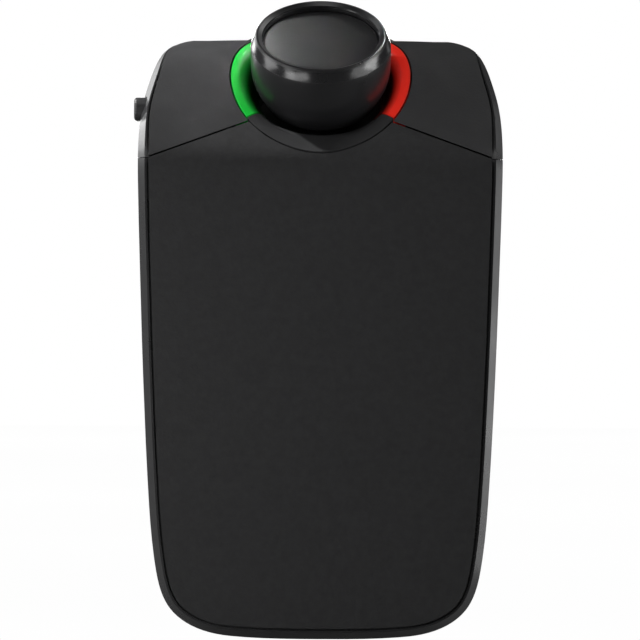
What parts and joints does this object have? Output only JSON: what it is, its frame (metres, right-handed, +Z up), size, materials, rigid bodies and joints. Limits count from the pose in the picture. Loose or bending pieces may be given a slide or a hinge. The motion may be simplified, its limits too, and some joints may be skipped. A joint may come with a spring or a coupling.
{
  "type": "hands-free car speaker",
  "caption": "Slim clip-on in-car hands-free speaker with a tilted push-and-turn knob, green and red arc buttons, side power button and a rear visor clip.",
  "frame": {"origin": "point on the flat rear contact face, on the centre line of the body", "axes": "+X to the right seen from the front, front faces -Y, +Z up towards the knob"},
  "size_m": [0.0624, 0.0416, 0.108],
  "materials": {
    "soft_panel": "fine soft-touch grain",
    "shoulder_black": "fine satin grain",
    "housing_black": "satin gloss",
    "rear_black": "fine grain",
    "frame_black": "moulded matte",
    "call_green": "translucent satin",
    "end_red": "translucent satin",
    "knob_black": "satin gloss",
    "knob_disc": "fine grain",
    "dish_black": "satin",
    "steel": "machined",
    "dark_screw": "black oxide",
    "brass": "turned",
    "board_green": "solder mask",
    "chip_black": "moulded",
    "can_metal": "pressed",
    "switch_white": "moulded",
    "led_white": "moulded lens",
    "cell_silver": "pouch foil",
    "foam_black": "open foam",
    "lead_red": "insulation",
    "ribbon_amber": "film",
    "cone_paper": "pressed fibre",
    "surround_rubber": "rolled",
    "magnet_dark": "plated",
    "coil_copper": "wound wire",
    "cloth_black": "woven",
    "boot_rubber": "moulded",
    "clip_black": "satin grain",
    "pad_rubber": "moulded"
  },
  "bodies": {
    "case": {"front_panel": "soft_panel", "shoulder_cover": "shoulder_black", "side_housing": "housing_black", "top_housing": "housing_black", "rear_cover": "rear_black", "front_frame": "frame_black", "ring_carrier": "frame_black", "dish_segment": "dish_black", "encoder_body": "can_metal", "encoder_bush": "brass", "encoder_nut": "steel", "knob_pcb": "board_green", "knob_screws": "steel", "button_switches": "chip_black", "button_leds": "led_white", "power_switch": "chip_black", "power_pcb": "board_green", "main_pcb": "board_green", "board_screws": "steel", "shield_can": "can_metal", "board_chips": "chip_black", "usb_socket": "can_metal", "battery_cell": "cell_silver", "battery_foam": "foam_black", "battery_plug": "switch_white", "battery_leads": "lead_red", "ribbon_cable": "ribbon_amber", "speaker_gasket": "foam_black", "speaker_basket": "frame_black", "speaker_magnet": "magnet_dark", "speaker_cone": "cone_paper", "speaker_coil": "coil_copper", "speaker_surround": "surround_rubber", "speaker_cloth": "cloth_black", "mic_boot": "boot_rubber", "mic_capsule": "can_metal", "case_screws": "dark_screw", "clip_bracket": "clip_black", "clip_screws": "dark_screw", "clip_pin": "steel", "clip_spring": "steel"},
    "knob_push": {"push_plunger": "switch_white"},
    "knob": {"knob_body": "knob_black", "knob_cap": "knob_disc", "encoder_shaft": "steel"},
    "call_key": {"call_button": "call_green", "call_plunger": "switch_white"},
    "end_key": {"end_button": "end_red", "end_plunger": "switch_white"},
    "power_key": {"power_button": "knob_black", "power_plunger": "switch_white"},
    "clip": {"clip_arm": "clip_black", "clip_pads": "pad_rubber"}
  },
  "joints": [
    {"name": "knob_press", "type": "slide", "parent": "case", "child": "knob_push", "axis": [0, 0.5635, -0.8261], "range_m": [0, 0.0005], "stiffness_N_per_m": 2500},
    {"name": "knob_turn", "type": "hinge", "parent": "knob_push", "child": "knob", "pos_m": [0, -0.0148, 0.0517], "axis": [0, -0.5635, 0.8261], "continuous": true},
    {"name": "call_press", "type": "slide", "parent": "case", "child": "call_key", "axis": [0, 0.5635, -0.8261], "range_m": [0, 0.0004], "stiffness_N_per_m": 1500},
    {"name": "end_press", "type": "slide", "parent": "case", "child": "end_key", "axis": [0, 0.5635, -0.8261], "range_m": [0, 0.0004], "stiffness_N_per_m": 1500},
    {"name": "power_press", "type": "slide", "parent": "case", "child": "power_key", "axis": [1, 0, 0], "range_m": [0, 0.0004], "stiffness_N_per_m": 1200},
    {"name": "clip_open", "type": "hinge", "parent": "case", "child": "clip", "pos_m": [0, 0.007, 0.047], "axis": [1, 0, 0], "range_deg": [0, 30], "stiffness_Nm_per_rad": 0.4, "springref_deg": -20.05, "deforming": ["clip_spring"]}
  ]
}
